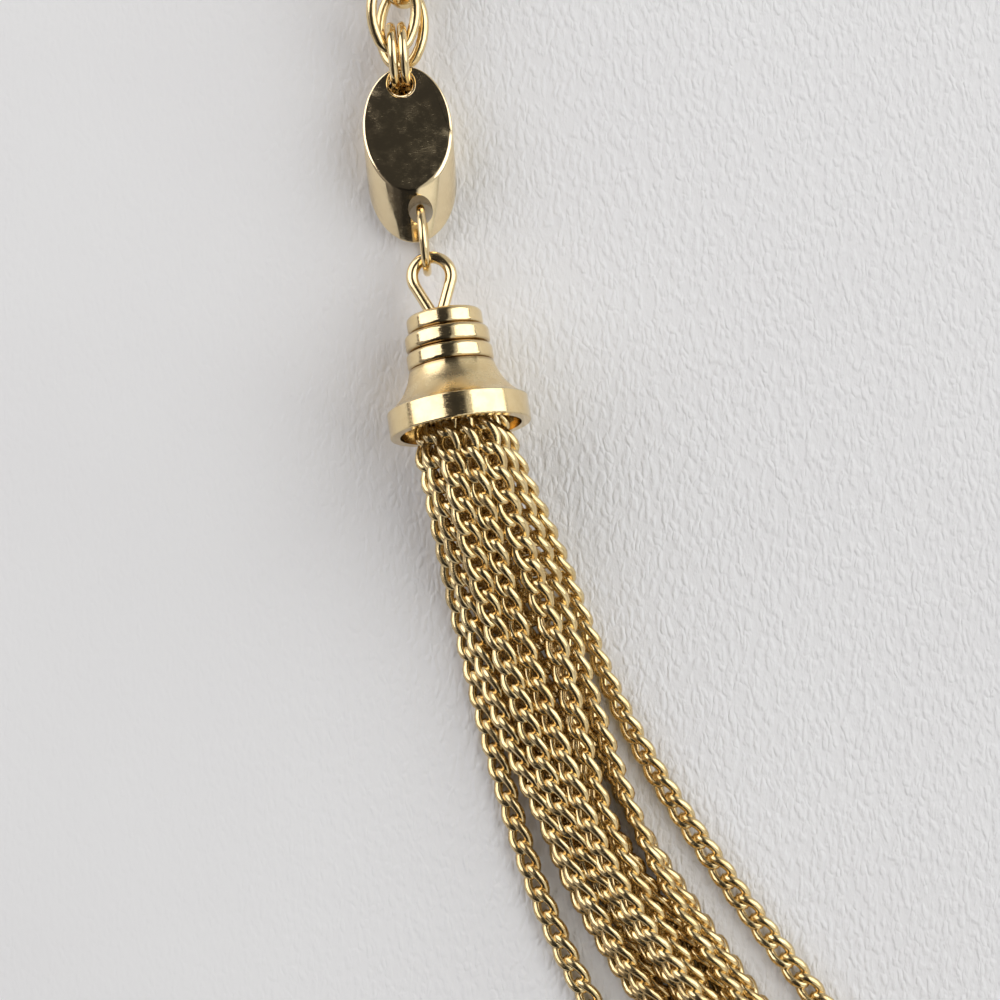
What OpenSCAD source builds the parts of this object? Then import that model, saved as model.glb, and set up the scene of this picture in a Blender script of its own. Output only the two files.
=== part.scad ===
// Tassel necklace lying on a flat surface, in millimetres.
// X runs across the necklace, Y from the tassel to the clasp, Z up from the surface.
// The neck chain, the rings, the slanted connector, the eye, the bell cap and the tassel
// follow each other, and each takes its place from the piece before it.

/* [Neck chain] */
// Links in each arm of the chain
arm_links = 56; // [40:1:64]
// Length of one link over its wire
link_len = 7.3; // [6.8:0.1:8.5]
// Width of one link over its wire
link_width = 4.8; // [4.6:0.1:5.6]
// Diameter of the link's wire
link_wire = 0.9; // [0.7:0.05:0.95]
// Clear space between the wires of two hooked links
link_play = 0.24; // [0.2:0.01:0.28]
// Lean of each link to alternate sides, in degrees
link_lean = 35; // [34:1:40]

/* [Neck loop] */
// Links of each arm before the arms part
lead_links = 1; // [1:1:3]
// Angle by which an arm turns outwards over two hooks, in degrees
parting_angle = 22.4; // [20:0.2:26]

/* [Jump rings] */
// Outer diameter of the two jump rings
jump_ring_d = 5.6; // [5.4:0.1:6.4]
// Wire of the jump rings
jump_ring_wire = 0.78; // [0.6:0.02:0.8]
// Clear space between the two jump rings
jump_ring_space = 0.1; // [0.1:0.02:0.2]

/* [Slanted connector] */
// Diameter of the rod that the connector is cut from
rod_d = 7.4; // [6.5:0.1:9]
// Thickness between the two slanted faces
connector_t = 3.8; // [3.2:0.1:4.6]
// Diameter of the two holes
hole_d = 2.0; // [1.9:0.05:2.4]
// Distance of the upper hole's centre from the upper tip
upper_hole_in = 1.6; // [1.55:0.05:2]
// Distance of the lower hole's centre from the lower tip
lower_hole_in = 2.35; // [2.2:0.05:2.5]
// Bevel of the holes' edges
hole_bevel = 0.2; // [0.05:0.05:0.3]
// Tilt of the connector, whose lower tip lies on the small ring, in degrees
connector_tilt = 7.5; // [7:0.5:10]

/* [Small ring] */
// Outer diameter of the ring under the connector
small_ring_d = 6.0; // [5.9:0.1:6.6]
// Wire of the ring under the connector
small_ring_wire = 0.7; // [0.6:0.05:0.75]

/* [Eye loop] */
// Radius of the eye to the middle of its wire
eye_r = 1.6; // [1.5:0.1:2]
// Wire of the eye
eye_wire = 1.0; // [0.8:0.05:1.1]
// Distance from the eye's centre to where its legs meet
eye_neck = 4.1; // [3.8:0.1:4.6]
// Distance from the eye's centre to the cap's top
eye_in_cap = 3.3; // [2.9:0.1:3.4]

/* [Bell cap] */
// Length of the cap
cap_len = 9.8; // [9:0.1:11]
// Radius of the cap's rim band
rim_r = 5.8; // [5.6:0.1:7]
// Height of the rim band
rim_h = 2.1; // [1.6:0.1:2.6]
// Radius of the widest rib
rib_r = 3.55; // [3.4:0.05:4]
// Height of one rib
rib_h = 1.5; // [1.3:0.05:1.6]
// Wall of the cap
cap_wall = 0.8; // [0.6:0.05:0.9]
// Hollow of the flared cone below a straight line
flare_dip = 0.4; // [0.2:0.05:0.5]
// Rise of the cap towards its mouth, in degrees
cap_tilt = 10; // [9.5:0.5:12]

/* [Tassel] */
// Length of each strand from the cap's mouth
strand_len = 80; // [50:1:110]
// Diameter of the strip that stands for one fine chain
strand_d = 1.75; // [1.5:0.05:1.8]
// Clear space between strands that lie side by side
strand_space = 0.15; // [0.1:0.01:0.3]
// Thickness of the head that holds the strands
head_t = 1.0; // [0.6:0.1:1.4]

/* [Clasp ring] */
// Outer diameter of the ring that closes the chain
clasp_d = 8.0; // [7:0.1:12]
// Wire of the clasp ring
clasp_wire = 1.4; // [1:0.1:1.6]

/* [Hidden] */
$fn = 64;

// Clear space between pieces that bear on each other, and between a piece and the surface
seat = 0.1;
rest = 0.02;
// How far a cut runs past the piece that it cuts
cut_over = 1;

// Where the middle of the connector's back face lies from the middle of the picture
connector_at = [-7.28, 26.37];
// How far each piece turns to the right on its way down, in degrees
connector_turn = 4.4;
jump_ring_turn = 5;
small_ring_turn = 6.3;
cap_turn = 8.7;
// Sideways places of the holes, of the eye's shank and of the small ring in the eye
upper_hole_side = -0.25;
lower_hole_side = 0.55;
eye_side = 0.5;
eye_bar_side = 0.25;

// Unit steps on the surface: down the picture at a turn, and to the right of that
function down(turn) = [sin(turn), -cos(turn), 0];
function right(turn) = [cos(turn), sin(turn), 0];

// The connector. Its faces are ovals, because the rod is cut at 45 degrees.
face_half = rod_d * sqrt(2) / 2;
connector_z = rest + face_half * sin(connector_tilt);
// A point of the connector: side, along towards the chain, and height over its back face
function connector_point(side, along, height) =
    [connector_at[0], connector_at[1], connector_z]
    + right(connector_turn) * side
    - down(connector_turn) * (along * cos(connector_tilt) + height * sin(connector_tilt))
    + [0, 0, height * cos(connector_tilt) - along * sin(connector_tilt)];

// The jump rings stand on the surface and pass through the upper hole
jump_ring_mid = (jump_ring_d - jump_ring_wire) / 2;
jump_ring_in = jump_ring_mid - jump_ring_wire / 2;
upper_hole_at = connector_point(upper_hole_side, connector_t + face_half - upper_hole_in, connector_t);
jump_ring_z = jump_ring_d / 2 + rest;
jump_ring_at = [upper_hole_at[0], upper_hole_at[1], 0]
    - down(jump_ring_turn) * jump_ring_mid + [0, 0, jump_ring_z];

// The small ring stands on the surface and passes through the lower hole
small_ring_mid = (small_ring_d - small_ring_wire) / 2;
small_ring_in = small_ring_mid - small_ring_wire / 2;
small_ring_z = small_ring_d / 2 + rest;
lower_hole_depth = connector_t / 2;
lower_hole_at = connector_point(lower_hole_side, lower_hole_in - face_half, lower_hole_depth);
lower_hole_slack = 0.2;
small_ring_at = [lower_hole_at[0], lower_hole_at[1], 0]
    + down(small_ring_turn) * (small_ring_mid - lower_hole_slack) + [0, 0, small_ring_z];

// The eye hooks the small ring, and the cap and the tassel hang on the eye in line.
// The rim band bears on the surface at its upper edge.
mouth_z = rim_r * cos(cap_tilt) + rim_h * sin(cap_tilt) + rest;
cap_reach = cap_len + eye_in_cap + eye_r;
eye_z = mouth_z - cap_reach * sin(cap_tilt);
eye_slack = 0.2;
eye_drop = sqrt(pow(small_ring_in - eye_wire / 2 - eye_slack, 2) - pow(eye_z - small_ring_z, 2));
eye_bar_at = [small_ring_at[0], small_ring_at[1], 0] + down(small_ring_turn) * eye_drop;
mouth_at = [eye_bar_at[0], eye_bar_at[1], mouth_z]
    + down(cap_turn) * (cap_reach * cos(cap_tilt)) + right(cap_turn) * (eye_bar_side + eye_side);

// Neck loop: a lead, one turning link, a straight run outwards and one great bend to the
// clasp. The right arm starts lower inside the jump rings, and a longer run brings it to
// the same height.
link_long = link_len - link_wire;
link_pitch = link_len - 2 * link_wire - link_play;
hook_reach = (link_long - link_pitch) / 2;
link_half_w = (link_width - link_wire) / 2;
clasp_mid = (clasp_d - clasp_wire) / 2;
clasp_slack = 0.28;
// Where the first bars hook inside the jump rings, as angles round the rings
hook_slack = 0.43;
hook_r = jump_ring_in - link_wire / 2 - hook_slack;
left_hook_angle = 74;
right_hook_angle = 228.2;
function bar_at(angle) = jump_ring_at + hook_r * (cos(angle) * -down(jump_ring_turn) + [0, 0, sin(angle)]);
left_bar_at = bar_at(left_hook_angle);
right_bar_at = bar_at(right_hook_angle);
arms_side = -0.09;
axis_x = (left_bar_at[0] + right_bar_at[0]) / 2 + arms_side;
bar_step = left_bar_at[1] - right_bar_at[1];
arm_side = 0.3;
lead_len = hook_reach + lead_links * link_pitch;
turning_share = 0.465;
turning_angle = parting_angle * turning_share;
turn_end = [arm_side, lead_len] + link_pitch * [sin(turning_angle), cos(turning_angle)];
arm_reach = arm_links * link_pitch + hook_reach * 2 + clasp_mid
    - (link_wire + clasp_wire) / 2 - clasp_slack;
extra_run = bar_step / cos(parting_angle);
extra_side = extra_run * sin(parting_angle);
half_loop = arm_reach - (extra_run + extra_side) / 2;
great_r = (half_loop - lead_len - link_pitch + turn_end[0] / sin(parting_angle))
    / (cos(parting_angle) / sin(parting_angle) + PI / 2 + parting_angle * PI / 180);
run_len = (great_r * cos(parting_angle) - turn_end[0]) / sin(parting_angle);

// Outward and upward place on an arm at a length from its first bar; more is its extra run
function loop_at(s, more) =
    let (outwards = [sin(parting_angle), cos(parting_angle)], run = run_len + more,
         run_s = s - lead_len - link_pitch, run_end = turn_end + run * outwards,
         a = parting_angle - (run_s - run) / great_r * 180 / PI)
    s < lead_len ? [arm_side, s]
    : run_s < 0 ? turn_end + run_s * [sin(turning_angle), cos(turning_angle)]
    : run_s < run ? turn_end + run_s * outwards
    : a > -90 ? run_end + great_r * [cos(a) - cos(parting_angle), sin(parting_angle) - sin(a)]
    : run_end + great_r * [-cos(parting_angle), sin(parting_angle) + 1]
        - [great_r * (-90 - a) * PI / 180, 0];

// Heights of the first hooks and leans of the first links, before both settle
left_heights = [4.09, 4.89, 4.82, 3.8, 2.89, 2.56, 1.73, 1.72];
left_leans = [-23.7, 47.6, -34, 70, -36, 41.4, -27.4];
right_heights = [2.24, 1.81, 1.89, 2.42, 1.98, 1.74];
right_leans = [-20.9, 44.4, -40, 34, -34.9];
settled_z = link_half_w * sin(link_lean) + link_wire / 2 + rest;
clasp_lean = arm_links % 2 == 0 ? 30 : -30;
clasp_z = clasp_mid * sin(abs(clasp_lean)) + clasp_wire / 2 + rest;
function hook_z(k, heights) = k < len(heights) ? heights[k] : k == arm_links ? clasp_z : settled_z;
function lean_of(k, leans) = k < len(leans) ? leans[k] : (k % 2 == 0 ? -link_lean : link_lean);

// A hook between two links of an arm; side is -1 for the left arm and 1 for the right one
function hook_at(k, side, bar, more, heights) =
    let (p = loop_at(hook_reach + k * link_pitch, more))
    [axis_x + side * p[0], bar[1] + p[1], hook_z(k, heights)];

top_y = left_bar_at[1] + turn_end[1] + run_len * cos(parting_angle) + great_r * (1 + sin(parting_angle));
clasp_at = [axis_x + arm_reach - half_loop, top_y, clasp_z];

// Tassel. The spine starts along the cap's axis and sweeps to the right as it falls.
strand_r = strand_d / 2;
strand_step = strand_d + strand_space;
layer_step = strand_step * sin(60);
spine_steps = 19;
// Turn of the spine on the surface at equal steps of its length, in degrees
spine_turns = [14, 17, 17, 18, 23, 31, 35, 35, 33, 31, 30];
function turn_at(t) = let (n = len(spine_turns) - 1, i = min(floor(t * n), n - 1), f = t * n - i)
    spine_turns[i] * (1 - f) + spine_turns[i + 1] * f;
function spine_at(t, steps = 40) = [mouth_at[0], mouth_at[1], 0]
    + strand_len * t / steps * sum_down([for (i = [0 : steps - 1]) turn_at(t * (i + 0.5) / steps)]);
function sum_down(turns, i = 0) = i == len(turns) ? [0, 0, 0] : down(turns[i]) + sum_down(turns, i + 1);

// Stations along a strand, as shares of its length
stations = [0, 0.25, 0.6, 1];
// One row for each strand: sides at the stations in strand steps, then layers at the stations
STRANDS = [
    [-1.7, -2.4, -3.9, -5.0, -0.9, 0, 0, 0],
    [-0.9, -1.2, -2.0, -2.2, -1.2, 0, 0, 0],
    [ 0.0,  0.1,  0.0, -0.1, -1.2, 0, 0, 0],
    [ 0.9,  1.5,  2.1,  2.3, -1.1, 0, 0, 0],
    [ 1.7,  2.9,  4.1,  4.6, -0.7, 0, 0, 0],
    [-1.3, -1.8, -1.5, -1.6,  0.0, 1, 1, 1],
    [-0.4, -0.5, -1.0, -1.1, -0.2, 1, 0, 0],
    [ 0.4,  0.6,  1.0,  1.1, -0.1, 1, 0, 0],
    [ 1.3,  2.1,  1.6,  1.7,  0.3, 1, 1, 1],
    [-0.6, -1.0, -0.5, -0.5,  1.1, 2, 1, 1],
    [ 0.2,  0.0,  0.0,  0.0,  1.3, 2, 2, 1.9],
    [ 1.0,  1.2,  0.5,  0.5,  1.3, 2, 1, 1]
];
SIDE = 0;
LAYER = 4;

// Smooth value between the stations, with the slopes of its neighbours
function slope_at(v, i) = i == 0 ? (v[1] - v[0]) / (stations[1] - stations[0])
    : i == 3 ? (v[3] - v[2]) / (stations[3] - stations[2])
    : (v[i + 1] - v[i - 1]) / (stations[i + 1] - stations[i - 1]);
function span_of(t) = t < stations[1] ? 0 : t < stations[2] ? 1 : 2;
function smooth_at(v, t) =
    let (i = span_of(t), w = stations[i + 1] - stations[i], f = (t - stations[i]) / w)
    v[i] * (1 + 2 * f) * (1 - f) * (1 - f) + v[i + 1] * f * f * (3 - 2 * f)
    + slope_at(v, i) * w * f * (1 - f) * (1 - f) - slope_at(v, i + 1) * w * f * f * (1 - f);
function columns(row, first) = [for (c = [0 : 3]) row[first + c]];

// Height over the surface: the layers in the mouth count from the cap's axis
mouth_share = 0.22;
function strand_z(row, t) =
    let (fall = min(t / mouth_share, 1), ease = fall * fall * (3 - 2 * fall),
         lying = strand_r + rest + layer_step * max(0, smooth_at(columns(row, LAYER), t)),
         held = mouth_z + strand_len * t * sin(cap_tilt) + layer_step * row[LAYER])
    held * (1 - ease) + lying * ease;
function strand_at(row, t) = let (p = spine_at(t), side = strand_step * smooth_at(columns(row, SIDE), t))
    [p[0], p[1], 0] + right(turn_at(t)) * side + [0, 0, strand_z(row, t)];

// Inside the cap the strands draw together towards the head
head_share = 0.6;
head_in = rim_h + 0.8;
head_r = rib_r - cap_wall;
cap_axis = down(cap_turn) * cos(cap_tilt) + [0, 0, sin(cap_tilt)];
cap_rise = [0, 0, cos(cap_tilt)] - down(cap_turn) * sin(cap_tilt);
head_at = mouth_at - cap_axis * head_in;
function strand_root(row) = head_at + right(cap_turn) * (strand_step * row[SIDE] * head_share)
    + cap_rise * (layer_step * row[LAYER] * head_share);
function strand_path(row) = concat([strand_root(row)],
    [for (i = [0 : spine_steps]) strand_at(row, i / spine_steps)]);

// The origin lies under the middle of the whole necklace
tip_low = min([for (row = STRANDS) strand_at(row, 1)[1]]);
origin_at = [axis_x + extra_side / 2, (top_y + clasp_mid + clasp_wire / 2 + tip_low - strand_r) / 2, 0];

gold = [0.83, 0.66, 0.36];
pale_gold = [0.9, 0.76, 0.47];
dark_gold = [0.7, 0.53, 0.27];

// A piece in its place on the surface
module placed(at) {
    translate(at - origin_at) children();
}

// Round wire bent round the Z axis by an angle that starts at the X axis
module bent_wire(mid_r, wire, angle = 360) {
    rotate_extrude(angle = angle) translate([mid_r, 0]) circle(d = wire);
}

// Round wire between two points
module straight_wire(from, to, wire) {
    step = to - from;
    translate(from)
        rotate([0, acos(step[2] / norm(step)), atan2(step[1], step[0])])
        cylinder(d = wire, h = norm(step));
}

// Oval link along X, of two end arcs and two side arcs. The sides are worn a little
// thinner than the ends and run a short way into them.
end_share = 0.77;
side_wear = 0.98;
side_lap = 1.5;
module link() {
    end_r = link_half_w * end_share;
    end_at = link_long / 2 - end_r;
    side_drop = (end_at * end_at - pow(link_half_w - end_r, 2)) / (2 * (link_half_w - end_r));
    end_angle = atan2(side_drop, end_at);
    for (turn = [0, 180]) rotate([0, 0, turn]) {
        translate([end_at, 0, 0]) rotate([0, 0, -end_angle])
            bent_wire(end_r, link_wire, 2 * end_angle);
        translate([0, -side_drop, 0]) rotate([0, 0, end_angle - side_lap])
            bent_wire(side_drop + link_half_w, link_wire * side_wear, 180 - 2 * end_angle + 2 * side_lap);
    }
}

module arm(side, bar, more, heights, leans) {
    for (k = [0 : arm_links - 1]) {
        from = hook_at(k, side, bar, more, heights);
        to = hook_at(k + 1, side, bar, more, heights);
        step = to - from;
        placed((from + to) / 2)
            rotate([0, -asin(step[2] / norm(step)), atan2(step[1], step[0])])
            rotate([side * lean_of(k, leans), 0, 0]) link();
    }
}

module chain_left() {
    color(gold) arm(-1, left_bar_at, 0, left_heights, left_leans);
}

module chain_right() {
    color(gold) arm(1, right_bar_at, extra_run, right_heights, right_leans);
}

// A ring that stands on edge along the pendant
module edge_ring(at, turn, mid_r, wire) {
    placed(at) rotate([0, 0, turn]) rotate([0, 90, 0]) bent_wire(mid_r, wire);
}

module jump_ring(side) {
    at = jump_ring_at + right(jump_ring_turn) * (side * (jump_ring_wire + jump_ring_space) / 2);
    color(pale_gold) edge_ring(at, jump_ring_turn, jump_ring_mid, jump_ring_wire);
}

module jump_ring_left() {
    jump_ring(-1);
}

module jump_ring_right() {
    jump_ring(1);
}

// A hole across both faces, with its edge bevelled at the face given
module face_hole(side, along, face_z) {
    translate([side, along, -cut_over]) cylinder(d = hole_d, h = connector_t + 2 * cut_over);
    translate([side, along, face_z])
        cylinder(d1 = hole_d + 2 * hole_bevel, d2 = hole_d - 2 * hole_bevel, h = 2 * hole_bevel,
            center = true);
}

module slanted_connector() {
    rod_len = connector_t * sqrt(2) + rod_d;
    color(pale_gold) placed([connector_at[0], connector_at[1], connector_z])
        rotate([0, 0, connector_turn]) rotate([-connector_tilt, 0, 0])
        difference() {
            intersection() {
                translate([0, connector_t / 2, connector_t / 2]) rotate([-45, 0, 0])
                    cylinder(d = rod_d, h = 2 * rod_len, center = true);
                translate([-rod_d, -2 * rod_d, 0]) cube([2 * rod_d, 5 * rod_d, connector_t]);
            }
            face_hole(upper_hole_side, connector_t + face_half - upper_hole_in, connector_t);
            face_hole(lower_hole_side, lower_hole_in - face_half, 0);
        }
}

module small_ring() {
    color(pale_gold) edge_ring(small_ring_at, small_ring_turn, small_ring_mid, small_ring_wire);
}

// The cap's own frame: X right, Y up the picture along its axis, with its mouth at the origin
module cap_frame() {
    placed(mouth_at) rotate([0, 0, cap_turn]) rotate([-cap_tilt, 0, 0]) children();
}

// Wire eye, its two legs and the shank that runs through the cap's top into the head
leg_angle = asin(eye_r / eye_neck);
leg_wear = 0.96;
leg_lap = 0.15;
knot_share = 1.12;
module eye_loop() {
    leg_len = sqrt(eye_neck * eye_neck - eye_r * eye_r) + leg_lap;
    eye_y = cap_len + eye_in_cap;
    color(gold) cap_frame() translate([-eye_side, 0, 0]) {
        translate([0, eye_y, 0]) rotate([0, 0, -leg_angle])
            bent_wire(eye_r, eye_wire, 180 + 2 * leg_angle);
        translate([0, eye_y - eye_neck, 0]) {
            for (side = [-1, 1])
                straight_wire([0, 0, 0], leg_len * [side * sin(leg_angle), cos(leg_angle), 0],
                    eye_wire * leg_wear);
            sphere(d = eye_wire * knot_share);
        }
        straight_wire([0, head_in + head_t / 2 + seat, 0], [0, eye_y - eye_neck, 0], eye_wire);
    }
}

// Half section of a rib from its foot, with rounded edges
module rib_section(r) {
    edge = 0.4;
    square([r - edge, rib_h]);
    translate([0, edge]) square([r, rib_h - 2 * edge]);
    for (y = [edge, rib_h - edge]) translate([r - edge, y]) circle(r = edge);
}

// Radii of the ribs from the cone up, as shares of the widest
rib_shares = [1, 0.98, 0.88];
neck_h = cap_len - rim_h - 3 * rib_h;
flare_top_r = rib_r * 0.99;
flare_foot_r = rim_r - 0.15;
leg_hole_r = (eye_neck - eye_in_cap) * tan(leg_angle) + eye_wire / 2 / cos(leg_angle) + 2 * seat;

// Cone with a hollow line between the rim band and the ribs
module flare_section() {
    chord = [flare_top_r - flare_foot_r, neck_h];
    dip_r = (norm(chord) * norm(chord) / 4 + flare_dip * flare_dip) / (2 * flare_dip);
    out = [chord[1], -chord[0]] / norm(chord);
    middle = [(flare_top_r + flare_foot_r) / 2, rim_h + neck_h / 2];
    difference() {
        translate([0, rim_h]) square([rim_r, neck_h]);
        translate(middle + out * (dip_r - flare_dip)) circle(r = dip_r, $fn = 200);
    }
}

// Half section of the cap from its mouth up, before it is hollowed
module cap_outside() {
    edge = 0.12;
    square([rim_r - edge, rim_h]);
    translate([0, edge]) square([rim_r, rim_h - 2 * edge]);
    for (y = [edge, rim_h - edge]) translate([rim_r - edge, y]) circle(r = edge);
    flare_section();
    square([rib_r * rib_shares[2] - 2 * edge, cap_len - edge]);
    for (i = [0 : 2]) translate([0, rim_h + neck_h + i * rib_h]) rib_section(rib_r * rib_shares[i]);
}

module cap_inside() {
    bore_r = rib_r * rib_shares[2] - cap_wall;
    polygon([[-cut_over, -cut_over], [rim_r - cap_wall, -cut_over],
        [rim_r - cap_wall, rim_h - cap_wall / 2],
        [flare_top_r - cap_wall, rim_h + neck_h - cap_wall / 2], [bore_r, rim_h + neck_h],
        [bore_r, cap_len - cap_wall], [-cut_over, cap_len - cap_wall]]);
}

module tassel_cap() {
    color(dark_gold) cap_frame() rotate([-90, 0, 0]) difference() {
        rotate_extrude() difference() {
            cap_outside();
            cap_inside();
        }
        translate([-eye_side, 0, cap_len - cap_wall - cut_over])
            cylinder(r = leg_hole_r, h = cap_wall + 2 * cut_over);
    }
}

// One strand as a tube with a round tip, swept along its points
tube_sides = 8;
function unit(v) = v / norm(v);
function heading_at(path, i) = unit(path[min(i + 1, len(path) - 1)] - path[max(i - 1, 0)]);
module strand(path) {
    last = len(path) - 1;
    points = [for (i = [0 : last])
        let (along = heading_at(path, i), across = unit(cross(along, [0, 0, 1])), up = cross(across, along))
        for (c = [0 : tube_sides - 1])
            path[i] + strand_r * (cos(c * 360 / tube_sides) * across + sin(c * 360 / tube_sides) * up)];
    sides = [for (i = [0 : last - 1]) for (c = [0 : tube_sides - 1])
        let (a = i * tube_sides, n = (c + 1) % tube_sides)
        [a + c, a + n, a + tube_sides + n, a + tube_sides + c]];
    ends = [[for (c = [tube_sides - 1 : -1 : 0]) c],
        [for (c = [0 : tube_sides - 1]) last * tube_sides + c]];
    polyhedron(points = points, faces = concat(sides, ends), convexity = 6);
    along = heading_at(path, last);
    hull() for (j = [0, 1])
        translate(path[last] + along * (j * strand_r * 0.6)) rotate([0, 90, atan2(along[1], along[0])])
            cylinder(r = strand_r * (j == 0 ? 0.97 : 0.55), h = strand_r / 4, center = true,
                $fn = tube_sides);
}

module tassel() {
    color(dark_gold) translate(-origin_at) difference() {
        union() {
            for (row = STRANDS) strand(strand_path(row));
            translate(head_at) rotate([0, 0, cap_turn]) rotate([90 - cap_tilt, 0, 0])
                cylinder(r = head_r, h = head_t, center = true, $fn = 32);
        }
    }
}

module clasp_ring() {
    color(pale_gold) placed(clasp_at) rotate([clasp_lean, 0, 0]) bent_wire(clasp_mid, clasp_wire);
}

chain_left();
chain_right();
jump_ring_left();
jump_ring_right();
slanted_connector();
small_ring();
eye_loop();
tassel_cap();
tassel();
clasp_ring();
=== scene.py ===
# %% [markdown]
# # A tassel necklace on pale leather
#
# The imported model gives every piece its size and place: the cable chain, the rings, the
# slanted connector, the wire eye and the bell cap keep their own meshes here. This lesson
# gives them their gold finishes, makes the tassel's fine curb chains link by link, and
# lights the whole from a photographer's window light.

import math
import random

import bmesh
import bpy
from mathutils import Matrix, Vector


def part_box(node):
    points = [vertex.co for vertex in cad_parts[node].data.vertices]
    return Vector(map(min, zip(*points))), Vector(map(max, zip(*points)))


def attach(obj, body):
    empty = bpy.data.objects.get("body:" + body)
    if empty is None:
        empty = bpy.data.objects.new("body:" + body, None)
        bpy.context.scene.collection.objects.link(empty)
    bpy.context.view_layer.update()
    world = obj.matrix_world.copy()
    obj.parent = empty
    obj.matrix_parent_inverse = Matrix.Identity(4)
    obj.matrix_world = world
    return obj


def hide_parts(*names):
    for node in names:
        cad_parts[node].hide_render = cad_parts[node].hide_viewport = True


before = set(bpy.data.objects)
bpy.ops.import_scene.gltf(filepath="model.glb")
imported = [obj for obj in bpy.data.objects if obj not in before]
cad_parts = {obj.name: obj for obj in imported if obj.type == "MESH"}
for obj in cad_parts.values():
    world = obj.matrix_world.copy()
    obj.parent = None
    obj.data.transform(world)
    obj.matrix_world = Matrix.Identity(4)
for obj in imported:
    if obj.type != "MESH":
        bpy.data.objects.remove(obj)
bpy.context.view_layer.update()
scene = bpy.context.scene

# %% [markdown]
# ## The camera
#
# The photo looks straight down. One number ties the picture to the model: the connector's
# place in the picture. A long lens keeps the tall pieces from leaning outwards more than
# they do in the photo. At 250 mm this lens shows 83 mm of the surface across the picture.

# %% The picture's centre and the camera
MM = 0.001
CONNECTOR_TO_CENTRE = Vector((7.444, -28.496, 0)) * MM
connector_low, connector_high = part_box("slanted_connector")
picture_centre = (connector_low + connector_high) / 2 + CONNECTOR_TO_CENTRE
picture_centre.z = 0

camera_data = bpy.data.cameras.new("camera")
camera_data.lens = 108
camera_data.sensor_width = 36
camera_data.clip_start = 0.01
camera_data.clip_end = 10
camera = bpy.data.objects.new("camera", camera_data)
camera.location = picture_centre + Vector((0, 0, 0.25))
scene.collection.objects.link(camera)
scene.camera = camera
print("picture centre in mm:", [round(v * 1000, 2) for v in picture_centre])

# %% [markdown]
# ## Helpers for shader nodes
#
# A finish that several pieces share is a node group, so that it is drawn once and used with
# other numbers on each piece. These helpers keep the node building short.


# %% Node helpers
def add_node(tree, kind, **settings):
    node = tree.nodes.new(kind)
    for key, value in settings.items():
        setattr(node, key, value)
    return node


def feed(tree, node, **values):
    """Set or link a node's inputs; an underscore in a name stands for a space."""
    for key, value in values.items():
        socket = node.inputs[key.replace("_", " ")]
        if isinstance(value, bpy.types.NodeSocket):
            tree.links.new(value, socket)
        else:
            socket.default_value = value
    return node


def maths(tree, operation, a, b=0.0, c=0.0, clamp=False):
    node = add_node(tree, "ShaderNodeMath", operation=operation, use_clamp=clamp)
    for i, value in enumerate((a, b, c)):
        if isinstance(value, bpy.types.NodeSocket):
            tree.links.new(value, node.inputs[i])
        else:
            node.inputs[i].default_value = value
    return node.outputs[0]


def smooth_range(tree, value, low, high, to_low=0.0, to_high=1.0):
    node = add_node(tree, "ShaderNodeMapRange", interpolation_type="SMOOTHSTEP")
    feed(tree, node, Value=value, From_Min=low, From_Max=high, To_Min=to_low, To_Max=to_high)
    return node.outputs["Result"]


def noise(tree, vector, scale, detail=3.0, roughness=0.55):
    node = add_node(tree, "ShaderNodeTexNoise")
    feed(tree, node, Vector=vector, Scale=scale, Detail=detail, Roughness=roughness)
    return node.outputs["Fac"]


def new_group(name, inputs, outputs):
    """A shader node group with its sockets: name to kind, and for inputs the first value."""
    group = bpy.data.node_groups.new(name, "ShaderNodeTree")
    for label, (kind, value) in inputs.items():
        socket = group.interface.new_socket(label, in_out="INPUT", socket_type="NodeSocket" + kind)
        socket.default_value = value
    for label, kind in outputs.items():
        group.interface.new_socket(label, in_out="OUTPUT", socket_type="NodeSocket" + kind)
    return group, group.nodes.new("NodeGroupInput"), group.nodes.new("NodeGroupOutput")


# %% [markdown]
# ## Gold plating
#
# The plating is one thin layer of pale gold over cast and drawn brass. What makes it look
# real is small: a slow change of tone, a slight orange-peel ripple in the surface, fine
# rubbing marks and a roughness that isn't the same everywhere. The group below works these
# out from Object coordinates in metres, so a scale of 1000 is one cell a millimetre.


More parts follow.
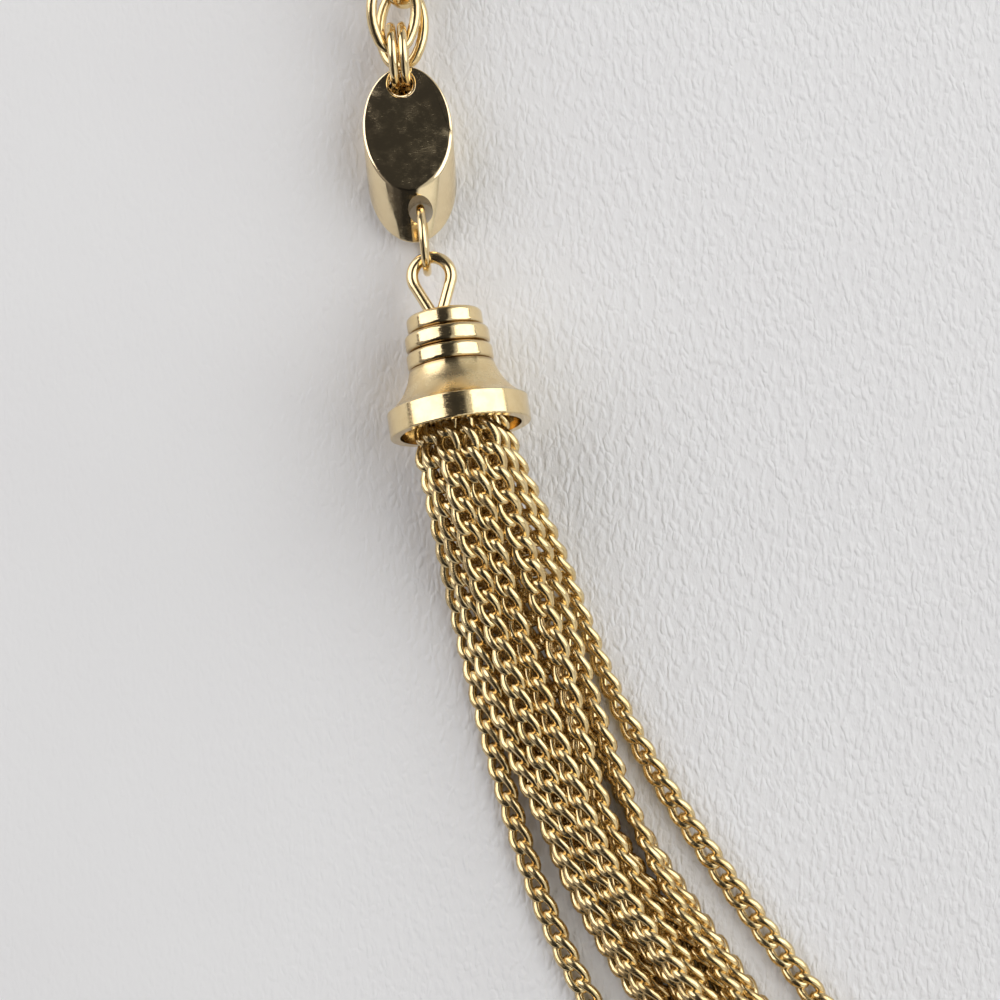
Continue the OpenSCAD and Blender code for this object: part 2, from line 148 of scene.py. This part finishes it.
# %% The wear group: tone, roughness and height of the plating
def make_wear_group():
    group, inputs, outputs = new_group(
        "plating wear",
        {
            "Vector": ("Vector", (0, 0, 0)),
            "Light tone": ("Color", (0.9, 0.68, 0.36, 1)),
            "Deep tone": ("Color", (0.7, 0.46, 0.18, 1)),
            "Roughness": ("Float", 0.16),
            "Spread": ("Float", 0.1),
        },
        {"Color": "Color", "Roughness": "Float", "Height": "Float"},
    )
    vector = inputs.outputs["Vector"]
    slow = noise(group, vector, 260, 2.0)
    patches = smooth_range(group, noise(group, vector, 900, 4.0, 0.6), 0.35, 0.7)
    patch_share = maths(group, "MULTIPLY", patches, 0.3)
    tone = maths(group, "MULTIPLY_ADD", slow, 0.5, patch_share, clamp=True)
    mix = add_node(group, "ShaderNodeMix", data_type="RGBA")
    group.links.new(tone, mix.inputs["Factor"])
    group.links.new(inputs.outputs["Light tone"], mix.inputs[6])
    group.links.new(inputs.outputs["Deep tone"], mix.inputs[7])
    group.links.new(mix.outputs[2], outputs.inputs["Color"])

    stretched = add_node(group, "ShaderNodeMapping")
    feed(group, stretched, Vector=vector, Rotation=(0.4, 0.2, 0.7), Scale=(1, 9, 1))
    marks = smooth_range(group, noise(group, stretched.outputs[0], 2600, 2.0), 0.55, 0.75)
    rubbed = maths(group, "ADD", patches, marks)
    spread = maths(group, "MULTIPLY", inputs.outputs["Spread"], rubbed)
    polish = maths(group, "ADD", inputs.outputs["Roughness"], spread)
    group.links.new(polish, outputs.inputs["Roughness"])
    ripple = noise(group, vector, 1500, 2.0)
    height = maths(group, "MULTIPLY_ADD", marks, 0.25, ripple)
    group.links.new(height, outputs.inputs["Height"])
    return group


WEAR = make_wear_group()


def gold(name, light, deep, roughness, spread, bump, height_node=None):
    """A gold finish; height_node(tree, coordinates) may add its own height in millimetres."""
    material = bpy.data.materials.new(name)
    material.use_nodes = True
    tree = material.node_tree
    shader = tree.nodes["Principled BSDF"]
    coordinates = add_node(tree, "ShaderNodeTexCoord").outputs["Object"]
    wear = add_node(tree, "ShaderNodeGroup", node_tree=WEAR)
    feed(tree, wear, Vector=coordinates, Light_tone=light, Deep_tone=deep)
    feed(tree, wear, Roughness=roughness, Spread=spread)
    feed(tree, shader, Metallic=1.0, Base_Color=wear.outputs["Color"])
    feed(tree, shader, Roughness=wear.outputs["Roughness"])
    first = add_node(tree, "ShaderNodeBump")
    feed(tree, first, Strength=bump, Distance=0.02 * MM, Height=wear.outputs["Height"])
    normal = first.outputs["Normal"]
    if height_node:
        second = add_node(tree, "ShaderNodeBump")
        feed(tree, second, Strength=1.0, Distance=MM, Normal=normal)
        feed(tree, second, Height=height_node(tree, coordinates))
        normal = second.outputs["Normal"]
    feed(tree, shader, Normal=normal)
    return material


PALE = (0.89, 0.72, 0.42, 1)
DEEP = (0.64, 0.44, 0.18, 1)
chain_gold = gold("chain gold", PALE, DEEP, 0.10, 0.09, 0.35)
ring_gold = gold("ring gold", PALE, (0.70, 0.50, 0.24, 1), 0.08, 0.07, 0.25)
mirror_gold = gold("mirror gold", (0.89, 0.74, 0.48, 1), (0.82, 0.65, 0.39, 1), 0.04, 0.14, 0.06)
strand_gold = gold("strand gold", (0.94, 0.77, 0.44, 1), (0.44, 0.25, 0.06, 1), 0.15, 0.12, 0.4)

# %% [markdown]
# ## The cap's lathe lines and painted groove shade
#
# The bell cap was turned on a lathe and polished while it spun, so its fine lines run round
# it, and shade is painted dark into the grooves between its ribs. Its axis leans on the
# surface and rises towards the mouth. A Mapping node moves the coordinates into the cap's
# own frame, where Y runs along the axis from the mouth. Fine noise along Y alone draws
# lines that go all the way round. The distance from each groove's Y makes the rings of
# painted shade, and between the polished rim and the polished ribs the cone is brushed, and so
# rougher.

# %% The cap's frame and its finish
CAP_TURN = math.radians(8.7)
CAP_TILT = math.radians(10)
MOUTH = Vector((-3.166, 5.675, 6.097))
RIM_HEIGHT = 2.1
RIB_HEIGHT = 1.5
CAP_LENGTH = 9.8
GROOVES = [CAP_LENGTH - RIB_HEIGHT * count for count in (3, 2, 1)]
GROOVE_HALF_WIDTH = 0.3
GROOVE_CORE = 0.05
GROOVE_DARKNESS = 0.6
# painted shade: the dark colour laid into the grooves between the ribs
PAINTED_GROOVE_SHADE = (0.22, 0.12, 0.04, 1)
BRUSHED = 0.16


def in_cap_frame(tree, coordinates):
    node = add_node(tree, "ShaderNodeMapping", vector_type="TEXTURE")
    feed(tree, node, Vector=coordinates, Location=MOUTH * MM + picture_centre)
    feed(tree, node, Rotation=(-CAP_TILT, 0, CAP_TURN))
    return node.outputs[0]


def lathe_lines(tree, coordinates):
    along = add_node(tree, "ShaderNodeMapping")
    feed(tree, along, Vector=in_cap_frame(tree, coordinates), Scale=(1 / 60, 1, 1 / 60))
    fine = noise(tree, along.outputs[0], 9000, 2.0)
    coarse = noise(tree, along.outputs[0], 2600, 1.0)
    return maths(tree, "MULTIPLY_ADD", fine, 0.003, maths(tree, "MULTIPLY", coarse, 0.004))


# painted shade: a dark ring at each groove between the ribs, strongest at its core
def painted_groove_shade_mask(tree, coordinates):
    split = add_node(tree, "ShaderNodeSeparateXYZ")
    tree.links.new(in_cap_frame(tree, coordinates), split.inputs[0])
    mask = 0.0
    for place in GROOVES:
        distance = maths(tree, "ABSOLUTE", maths(tree, "SUBTRACT", split.outputs["Y"], place * MM))
        outer, inner = GROOVE_HALF_WIDTH * MM, GROOVE_CORE * MM
        ring = smooth_range(tree, distance, outer, inner, 0.0, GROOVE_DARKNESS)
        mask = maths(tree, "MAXIMUM", ring, mask)
    return mask


def satin_zone(tree, coordinates):
    """The brushed cone between the polished rim and the polished ribs."""
    split = add_node(tree, "ShaderNodeSeparateXYZ")
    tree.links.new(in_cap_frame(tree, coordinates), split.inputs[0])
    along = split.outputs["Y"]
    above_rim = smooth_range(tree, along, RIM_HEIGHT * MM, (RIM_HEIGHT + 0.4) * MM)
    ribs_from = GROOVES[0]
    below_ribs = smooth_range(tree, along, (ribs_from - 0.1) * MM, (ribs_from - 0.7) * MM)
    return maths(tree, "MULTIPLY", above_rim, below_ribs)


def paint_groove_shade_and_brush_cap(material):
    """Paint shade into the grooves of a gold finish and roughen its brushed cone."""
    tree = material.node_tree
    shader = tree.nodes["Principled BSDF"]
    plating = shader.inputs["Base Color"].links[0].from_socket
    polish = shader.inputs["Roughness"].links[0].from_socket
    coordinates = add_node(tree, "ShaderNodeTexCoord").outputs["Object"]
    darkened = add_node(tree, "ShaderNodeMix", data_type="RGBA")
    tree.links.new(painted_groove_shade_mask(tree, coordinates), darkened.inputs["Factor"])
    tree.links.new(plating, darkened.inputs[6])
    # painted shade: the grooves between the ribs darken towards this colour
    darkened.inputs[7].default_value = PAINTED_GROOVE_SHADE
    tree.links.new(darkened.outputs[2], shader.inputs["Base Color"])
    rougher = maths(tree, "MULTIPLY_ADD", satin_zone(tree, coordinates), BRUSHED, polish)
    tree.links.new(rougher, shader.inputs["Roughness"])


satin_gold = gold(
    "satin gold", (0.87, 0.71, 0.42, 1), (0.68, 0.49, 0.23, 1), 0.09, 0.08, 0.3, lathe_lines
)
# paint shade into the cap's grooves and roughen its brushed cone
paint_groove_shade_and_brush_cap(satin_gold)

# %% Finishes onto the model's own pieces
FINISHES = {
    "chain_left": chain_gold,
    "chain_right": chain_gold,
    "jump_ring_left": ring_gold,
    "jump_ring_right": ring_gold,
    "small_ring": ring_gold,
    "eye_loop": ring_gold,
    "tassel_cap": satin_gold,
    "clasp_ring": ring_gold,
}
for name, finish in FINISHES.items():
    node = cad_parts[name]
    node.data.materials.clear()
    node.data.materials.append(finish)
    print(name, "faces:", len(node.data.polygons))

# %% [markdown]
# ## The connector's soft edges
#
# The connector was sawn from rod and then tumbled, so its edges are a little round and
# catch a thin bright line all round the dark face. A copy of the model's piece is merged
# into one skin, and a Bevel rounds the edges of the two cut faces, which the mesh marks with
# a weight. Hardened normals keep the two faces flat.

# %% A merged and bevelled copy of the connector
EDGE_ROUND = 0.25


def plain_copy(obj):
    """Turn an object's evaluated shape into its own plain mesh."""
    graph = bpy.context.evaluated_depsgraph_get()
    mesh = bpy.data.meshes.new_from_object(obj.evaluated_get(graph), depsgraph=graph)
    obj.modifiers.clear()
    obj.data = mesh


connector_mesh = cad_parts["slanted_connector"].data.copy()
shell = bmesh.new()
shell.from_mesh(connector_mesh)
bmesh.ops.remove_doubles(shell, verts=shell.verts, dist=0.001 * MM)
nearly_flat = math.radians(0.5)
bmesh.ops.dissolve_limit(shell, angle_limit=nearly_flat, verts=shell.verts, edges=shell.edges)
cut_normal = max(shell.faces, key=lambda face: face.calc_area()).normal.copy()
weight = shell.edges.layers.float.new("bevel_weight_edge")
for edge in shell.edges:
    on_cut = [abs(face.normal.dot(cut_normal)) > 0.999 for face in edge.link_faces]
    edge[weight] = float(sum(on_cut) == 1)
    edge.smooth = edge[weight] > 0 or edge.calc_face_angle(0) < math.radians(30)
for face in shell.faces:
    face.smooth = True
shell.to_mesh(connector_mesh)
shell.free()
connector_mesh.materials.clear()
connector_mesh.materials.append(mirror_gold)
connector = bpy.data.objects.new("connector_rounded", connector_mesh)
scene.collection.objects.link(connector)
rounding = connector.modifiers.new("soft edges", "BEVEL")
rounding.width = EDGE_ROUND * MM
rounding.segments = 4
rounding.limit_method = "WEIGHT"
rounding.harden_normals = True
rounding.use_clamp_overlap = False
plain_copy(connector)
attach(connector, "root")
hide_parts("slanted_connector")
print("connector faces:", len(connector.data.polygons))

# %% [markdown]
# ## Routes of the tassel's chains
#
# A dozen fine chains hang from a head inside the cap. They leave the mouth high, sink to
# the surface within a finger's width and sweep to the right together. All of them follow
# one spine. A short table says how far each chain lies to the side of it, and on which
# layer, at four stations along its length. The same rule made the solid strips that these
# chains replace, so the chains lie where the strips were.

# %% The spine and the table
STRAND_LENGTH = 80.0
STRIP_RADIUS = 0.875
SIDE_STEP = 1.9
LAYER_STEP = SIDE_STEP * math.sin(math.radians(60))
SPINE_TURNS = [14, 17, 17, 18, 23, 31, 35, 35, 33, 31, 30]
STATIONS = [0, 0.25, 0.6, 1]
STRANDS = [
    ((-1.7, -2.4, -3.9, -5.0), (-0.9, 0, 0, 0)),
    ((-0.9, -1.2, -2.0, -2.2), (-1.2, 0, 0, 0)),
    ((0.0, 0.1, 0.0, -0.1), (-1.2, 0, 0, 0)),
    ((0.9, 1.5, 2.1, 2.3), (-1.1, 0, 0, 0)),
    ((1.7, 2.9, 4.1, 4.6), (-0.7, 0, 0, 0)),
    ((-1.3, -1.8, -1.5, -1.6), (0.0, 1, 1, 1)),
    ((-0.4, -0.5, -1.0, -1.1), (-0.2, 1, 0, 0)),
    ((0.4, 0.6, 1.0, 1.1), (-0.1, 1, 0, 0)),
    ((1.3, 2.1, 1.6, 1.7), (0.3, 1, 1, 1)),
    ((-0.6, -1.0, -0.5, -0.5), (1.1, 2, 1, 1)),
    ((0.2, 0.0, 0.0, 0.0), (1.3, 2, 2, 1.9)),
    ((1.0, 1.2, 0.5, 0.5), (1.3, 2, 1, 1)),
]
MOUTH_SHARE = 0.22


def down(turn):
    return Vector((math.sin(turn), -math.cos(turn), 0))


def right(turn):
    return Vector((math.cos(turn), math.sin(turn), 0))


def turn_at(t):
    place = min(max(t, 0), 1) * (len(SPINE_TURNS) - 1)
    i = min(int(place), len(SPINE_TURNS) - 2)
    share = place - i
    return math.radians(SPINE_TURNS[i] * (1 - share) + SPINE_TURNS[i + 1] * share)


def spine_at(t, steps=40):
    place = Vector((MOUTH.x, MOUTH.y, 0))
    for i in range(steps):
        place += down(turn_at(t * (i + 0.5) / steps)) * (STRAND_LENGTH * t / steps)
    return place


def smooth_at(values, t):
    def slope(i):
        a, b = max(i - 1, 0), min(i + 1, 3)
        return (values[b] - values[a]) / (STATIONS[b] - STATIONS[a])

    i = 0 if t < STATIONS[1] else 1 if t < STATIONS[2] else 2
    width = STATIONS[i + 1] - STATIONS[i]
    f = (t - STATIONS[i]) / width
    return (
        values[i] * (1 + 2 * f) * (1 - f) ** 2
        + values[i + 1] * f * f * (3 - 2 * f)
        + slope(i) * width * f * (1 - f) ** 2
        - slope(i + 1) * width * f * f * (1 - f)
    )


def strand_at(sides, layers, t):
    fall = min(t / MOUTH_SHARE, 1)
    ease = fall * fall * (3 - 2 * fall)
    lying = STRIP_RADIUS + 0.02 + LAYER_STEP * max(0, smooth_at(layers, t))
    held = MOUTH.z + STRAND_LENGTH * t * math.sin(CAP_TILT) + LAYER_STEP * layers[0]
    place = spine_at(t) + right(turn_at(t)) * (SIDE_STEP * smooth_at(sides, t))
    place.z = held * (1 - ease) + lying * ease
    return place


# %% The head inside the cap, and each chain's points
HEAD_IN = 2.9
HEAD_RADIUS = 2.75
HEAD_THICKNESS = 1.0
HEAD_SHARE = 0.6
cap_axis = down(CAP_TURN) * math.cos(CAP_TILT) + Vector((0, 0, math.sin(CAP_TILT)))
cap_rise = Vector((0, 0, math.cos(CAP_TILT))) - down(CAP_TURN) * math.sin(CAP_TILT)
head_at = MOUTH - cap_axis * HEAD_IN


def strand_points(sides, layers, count=90):
    root = head_at + right(CAP_TURN) * (SIDE_STEP * sides[0] * HEAD_SHARE)
    root += cap_rise * (LAYER_STEP * layers[0] * HEAD_SHARE)
    return [root] + [strand_at(sides, layers, i / count) for i in range(count + 1)]


routes = [strand_points(*row) for row in STRANDS]
lengths = [sum((b - a).length for a, b in zip(r, r[1:])) for r in routes]
print("chains:", len(routes), "of", round(min(lengths), 1), "to", round(max(lengths), 1), "mm")

# %% [markdown]
# ## Curb chain from Geometry Nodes
#
# A curb link is an oval of wire with a twist of about a quarter turn, so that its two ends
# stand across each other and the next link hooks in flat. The tree below draws one such
# link from its sizes, cuts every route into steps of one pitch, and sets a link on each
# step, turned to the route. A chain that is turned a little about its own line shows
# another face, as the chains in the photo do, so each point also carries a roll.


# %% The routes as one mesh of lines with a roll at each point
PITCH = 2.05
WIRE = 0.78
LINK_LENGTH = PITCH + 2 * WIRE + 0.01
LINK_WIDTH = 2.25
TWIST = -100
ROLLS = [
    (50, 25),
    (30, 72),
    (20, 84),
    (25, 92),
    (75, 12),
    (25, 68),
    (40, 95),
    (20, 78),
    (30, 88),
    (15, 80),
    (30, 66),
    (20, 98),
]


def standing_height(roll, parts=24):
    """How far a link that is turned by a roll reaches below its middle."""
    half_width = (LINK_WIDTH - WIRE) / 2
    half_twist = math.radians(TWIST) / 2
    turns = [2 * math.pi * i / parts for i in range(parts)]
    reach = max(abs(math.sin(u) * math.sin(roll + half_twist * math.cos(u))) for u in turns)
    return half_width * reach + WIRE / 2


def route_mesh(seed=7):
    draw = random.Random(seed)
    vertices, edges, rolls = [], [], []
    for row, points in enumerate(routes):
        first = len(vertices)
        drift, phase = draw.uniform(0.6, 1.4), draw.uniform(0, 2 * math.pi)
        wave, swing = draw.uniform(0.12, 0.22), draw.uniform(8, 18)
        start_roll, end_roll = ROLLS[row]
        for i, point in enumerate(points):
            sway = wave * math.sin(i * 0.19 + phase) * min(1, i / 20)
            share = min(1, i / (0.65 * len(points)))
            turned = start_roll + (end_roll - start_roll) * share * share * (3 - 2 * share)
            roll = math.radians(turned + swing * math.sin(i * 0.05 * drift + phase))
            lift = max(0, standing_height(roll) + 0.02 - point.z)
            vertices.append(point + Vector((sway, 0, lift)))
            rolls.append(roll)
        edges += [(first + i, first + i + 1) for i in range(len(points) - 1)]
    mesh = bpy.data.meshes.new("tassel_routes")
    mesh.from_pydata([v * MM + picture_centre for v in vertices], edges, [])
    roll_attribute = mesh.attributes.new("roll", "FLOAT", "POINT")
    roll_attribute.data.foreach_set("value", rolls)
    return mesh


# %% The tree that makes the chains
def make_curb_tree(material):
    tree = bpy.data.node_groups.new("curb chains", "GeometryNodeTree")
    interface = tree.interface
    interface.new_socket("Geometry", in_out="INPUT", socket_type="NodeSocketGeometry")
    for label, value in (
        ("Pitch", PITCH * MM),
        ("Link length", LINK_LENGTH * MM),
        ("Link width", LINK_WIDTH * MM),
        ("Wire", WIRE * MM),
        ("Twist", math.radians(TWIST)),
    ):
        socket = interface.new_socket(label, in_out="INPUT", socket_type="NodeSocketFloat")
        socket.default_value = value
    interface.new_socket("Geometry", in_out="OUTPUT", socket_type="NodeSocketGeometry")
    given = tree.nodes.new("NodeGroupInput").outputs

    # one link: a circle drawn out to an oval, twisted along its length, with a round wire
    circle = add_node(tree, "GeometryNodeCurvePrimitiveCircle", mode="RADIUS")
    feed(tree, circle, Resolution=18, Radius=1.0)
    place = add_node(tree, "GeometryNodeInputPosition").outputs[0]
    split = add_node(tree, "ShaderNodeSeparateXYZ")
    tree.links.new(place, split.inputs[0])

    def half_less_wire(size):
        return maths(tree, "MULTIPLY", maths(tree, "SUBTRACT", size, given["Wire"]), 0.5)

    half_length = half_less_wire(given["Link length"])
    half_width = half_less_wire(given["Link width"])
    oval = add_node(tree, "ShaderNodeCombineXYZ")
    tree.links.new(maths(tree, "MULTIPLY", split.outputs["X"], half_length), oval.inputs["X"])
    tree.links.new(maths(tree, "MULTIPLY", split.outputs["Y"], half_width), oval.inputs["Y"])
    twist = add_node(tree, "ShaderNodeVectorRotate", rotation_type="X_AXIS")
    half_twist = maths(tree, "MULTIPLY", given["Twist"], 0.5)
    angle = maths(tree, "MULTIPLY", half_twist, split.outputs["X"])
    tree.links.new(oval.outputs[0], twist.inputs["Vector"])
    tree.links.new(angle, twist.inputs["Angle"])
    shaped = add_node(tree, "GeometryNodeSetPosition")
    tree.links.new(circle.outputs["Curve"], shaped.inputs["Geometry"])
    tree.links.new(twist.outputs[0], shaped.inputs["Position"])
    section = add_node(tree, "GeometryNodeCurvePrimitiveCircle", mode="RADIUS")
    section.inputs["Resolution"].default_value = 8
    tree.links.new(maths(tree, "MULTIPLY", given["Wire"], 0.5), section.inputs["Radius"])
    wire = add_node(tree, "GeometryNodeCurveToMesh")
    tree.links.new(shaped.outputs[0], wire.inputs["Curve"])
    tree.links.new(section.outputs["Curve"], wire.inputs["Profile Curve"])

    # the routes, cut to the pitch, with a link on every point
    curves = add_node(tree, "GeometryNodeMeshToCurve")
    tree.links.new(given["Geometry"], curves.inputs["Mesh"])
    cut = add_node(tree, "GeometryNodeResampleCurve", mode="LENGTH")
    tree.links.new(curves.outputs[0], cut.inputs["Curve"])
    tree.links.new(given["Pitch"], cut.inputs["Length"])
    tangent = add_node(tree, "GeometryNodeInputTangent").outputs[0]
    aim = add_node(tree, "FunctionNodeAlignRotationToVector", axis="X")
    tree.links.new(tangent, aim.inputs["Vector"])
    roll = add_node(tree, "GeometryNodeInputNamedAttribute", data_type="FLOAT")
    roll.inputs["Name"].default_value = "roll"
    spin = add_node(tree, "FunctionNodeAxisAngleToRotation")
    spin.inputs["Axis"].default_value = (1, 0, 0)
    tree.links.new(roll.outputs["Attribute"], spin.inputs["Angle"])
    turned = add_node(tree, "FunctionNodeRotateRotation", rotation_space="LOCAL")
    tree.links.new(aim.outputs[0], turned.inputs[0])
    tree.links.new(spin.outputs[0], turned.inputs[1])
    links = add_node(tree, "GeometryNodeInstanceOnPoints")
    tree.links.new(cut.outputs[0], links.inputs["Points"])
    tree.links.new(wire.outputs[0], links.inputs["Instance"])
    tree.links.new(turned.outputs[0], links.inputs["Rotation"])
    real = add_node(tree, "GeometryNodeRealizeInstances")
    tree.links.new(links.outputs[0], real.inputs[0])
    smooth = add_node(tree, "GeometryNodeSetShadeSmooth")
    tree.links.new(real.outputs[0], smooth.inputs[0])
    coat = add_node(tree, "GeometryNodeSetMaterial")
    coat.inputs["Material"].default_value = material
    tree.links.new(smooth.outputs[0], coat.inputs["Geometry"])
    tree.links.new(coat.outputs[0], tree.nodes.new("NodeGroupOutput").inputs[0])
    return tree


# %% The chains as one plain mesh, in place of the strips
tassel = bpy.data.objects.new("tassel_chains", route_mesh())
scene.collection.objects.link(tassel)
curb = tassel.modifiers.new("curb chains", "NODES")
curb.node_group = make_curb_tree(strand_gold)
plain_copy(tassel)

head = bmesh.new()
head.from_mesh(tassel.data)
across = right(CAP_TURN)
head_frame = Matrix((across, cap_rise, cap_axis)).transposed().to_4x4()
head_frame.translation = head_at * MM + picture_centre
bmesh.ops.create_cone(
    head,
    cap_ends=True,
    segments=32,
    radius1=HEAD_RADIUS * MM,
    radius2=HEAD_RADIUS * MM,
    depth=HEAD_THICKNESS * MM,
    matrix=head_frame,
)
head.to_mesh(tassel.data)
head.free()
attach(tassel, "root")
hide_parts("tassel")
print("tassel faces:", len(tassel.data.polygons))

# %% [markdown]
# ## The surface
#
# The necklace lies on pale imitation leather. Its grain is a field of small rounded cells
# with finer creases between them, low enough to show only as a soft mottling. To the left
# it is pressed flatter by wear, as in the photo. The plane is far larger than the picture,
# so that no edge of it is near in any view.


# %% The leather
GRAIN_DEPTH = 0.045
WORN = 0.3
FRESH = 1.7


def make_leather():
    material = bpy.data.materials.new("pale leather")
    material.use_nodes = True
    tree = material.node_tree
    shader = tree.nodes["Principled BSDF"]
    coordinates = add_node(tree, "ShaderNodeTexCoord").outputs["Object"]
    stretched = add_node(tree, "ShaderNodeMapping")
    feed(tree, stretched, Vector=coordinates, Rotation=(0, 0, 0.15), Scale=(1, 0.5, 1))
    drift = add_node(tree, "ShaderNodeTexNoise")
    feed(tree, drift, Vector=stretched.outputs[0], Scale=900.0, Detail=3.0)
    bent = add_node(tree, "ShaderNodeMix", data_type="RGBA", blend_type="LINEAR_LIGHT")
    bent.inputs["Factor"].default_value = 0.0006
    tree.links.new(stretched.outputs[0], bent.inputs[6])
    tree.links.new(drift.outputs["Color"], bent.inputs[7])
    cells = add_node(tree, "ShaderNodeTexVoronoi", feature="SMOOTH_F1")
    feed(tree, cells, Vector=bent.outputs[2], Scale=2000.0, Smoothness=0.3)
    grain = smooth_range(tree, cells.outputs["Distance"], 0.15, 0.75, 1.0, 0.0)
    pebble = noise(tree, stretched.outputs[0], 3600, 3.0)
    height = maths(tree, "MULTIPLY_ADD", pebble, 0.7, grain)
    split = add_node(tree, "ShaderNodeSeparateXYZ")
    tree.links.new(coordinates, split.inputs[0])
    worn_to = picture_centre.x - 30 * MM
    fresh_from = picture_centre.x + 20 * MM
    freshness = smooth_range(tree, split.outputs["X"], worn_to, fresh_from, WORN, FRESH)
    bump = add_node(tree, "ShaderNodeBump")
    feed(tree, bump, Strength=0.9, Distance=GRAIN_DEPTH * MM)
    feed(tree, bump, Height=maths(tree, "MULTIPLY", height, freshness))
    tone = add_node(tree, "ShaderNodeMix", data_type="RGBA")
    tree.links.new(noise(tree, coordinates, 40, 3.0), tone.inputs["Factor"])
    tone.inputs[6].default_value = (0.82, 0.82, 0.83, 1)
    tone.inputs[7].default_value = (0.87, 0.88, 0.885, 1)
    feed(tree, shader, Base_Color=tone.outputs[2], Roughness=0.55, Normal=bump.outputs[0])
    return material


floor_mesh = bpy.data.meshes.new("surface")
reach = 8.0
floor_mesh.from_pydata(
    [(-reach, -reach, 0), (reach, -reach, 0), (reach, reach, 0), (-reach, reach, 0)],
    [],
    [(0, 1, 2, 3)],
)
floor_mesh.materials.append(make_leather())
surface = bpy.data.objects.new("surface", floor_mesh)
scene.collection.objects.link(surface)

# %% [markdown]
# ## The light
#
# Polished metal shows the room more than itself. In the photo the flat face of the
# connector is almost black, because it mirrors the camera and the person above it, while
# each rounded piece has one bright band on the left and one on the right, from windows at
# both sides. The world is that room: dark overhead, with a bright wall to the right and a
# dimmer one to the left. On the photographer's side its middle is in shade, which draws
# the dark stripe down the connector's lower side. Two wide area lights are the windows,
# and give the pieces their faint shadows.


# %% The dome and the two windows
RIGHT_WALL = 0.55
LEFT_WALL = 0.3
END_WALLS = 0.08
AMBIENT = 0.04
scene.view_settings.view_transform = "Standard"


def make_room():
    world = bpy.data.worlds.new("room")
    world.use_nodes = True
    tree = world.node_tree
    background = tree.nodes["Background"]
    direction = add_node(tree, "ShaderNodeTexCoord").outputs["Generated"]
    split = add_node(tree, "ShaderNodeSeparateXYZ")
    tree.links.new(direction, split.inputs[0])
    x, y, z = split.outputs
    right_wall = smooth_range(tree, x, 0.14, 0.26, 0.0, RIGHT_WALL)
    left_wall = smooth_range(tree, x, -0.55, -0.72, 0.0, LEFT_WALL)
    dimmer_low = smooth_range(tree, z, 0.25, -0.05, 1.0, 0.55)
    walls = maths(tree, "MULTIPLY", maths(tree, "ADD", right_wall, left_wall), dimmer_low)
    end_walls = smooth_range(tree, z, 0.8, 0.4, 0.0, END_WALLS)
    light = maths(tree, "ADD", maths(tree, "MAXIMUM", walls, end_walls), AMBIENT)

    # on the photographer's side: shade from the left to the middle, light to the right
    shade = smooth_range(tree, x, -0.35, -0.5, 0.2, 0.5)
    lit = smooth_range(tree, x, 0.1, 0.35, 0.0, 1.4)
    near_side = smooth_range(tree, y, -0.35, -0.7)
    change = maths(tree, "SUBTRACT", maths(tree, "ADD", shade, lit), 1.0)
    factor = maths(tree, "MULTIPLY_ADD", near_side, change, 1.0)
    tree.links.new(maths(tree, "MULTIPLY", light, factor), background.inputs["Strength"])

    tint = add_node(tree, "ShaderNodeMix", data_type="RGBA")
    tree.links.new(smooth_range(tree, x, -0.6, 0.6), tint.inputs["Factor"])
    tint.inputs[6].default_value = (1.0, 0.94, 0.94, 1)
    tint.inputs[7].default_value = (1.0, 1.0, 0.97, 1)
    tree.links.new(tint.outputs[2], background.inputs["Color"])
    return world


scene.world = make_room()


def window(name, place, size, power, colour):
    data = bpy.data.lights.new(name, "AREA")
    data.shape = "DISK"
    data.size = size
    data.energy = power
    data.color = colour
    light = bpy.data.objects.new(name, data)
    light.location = picture_centre + Vector(place)
    light.rotation_euler = (-Vector(place)).to_track_quat("-Z", "Y").to_euler()
    scene.collection.objects.link(light)


window("window right", (0.8, 0.25, 0.6), 1.25, 7.0, (1.0, 0.99, 0.98))
window("window left", (-0.9, 0.5, 0.6), 1.4, 10.0, (1.0, 0.975, 0.985))
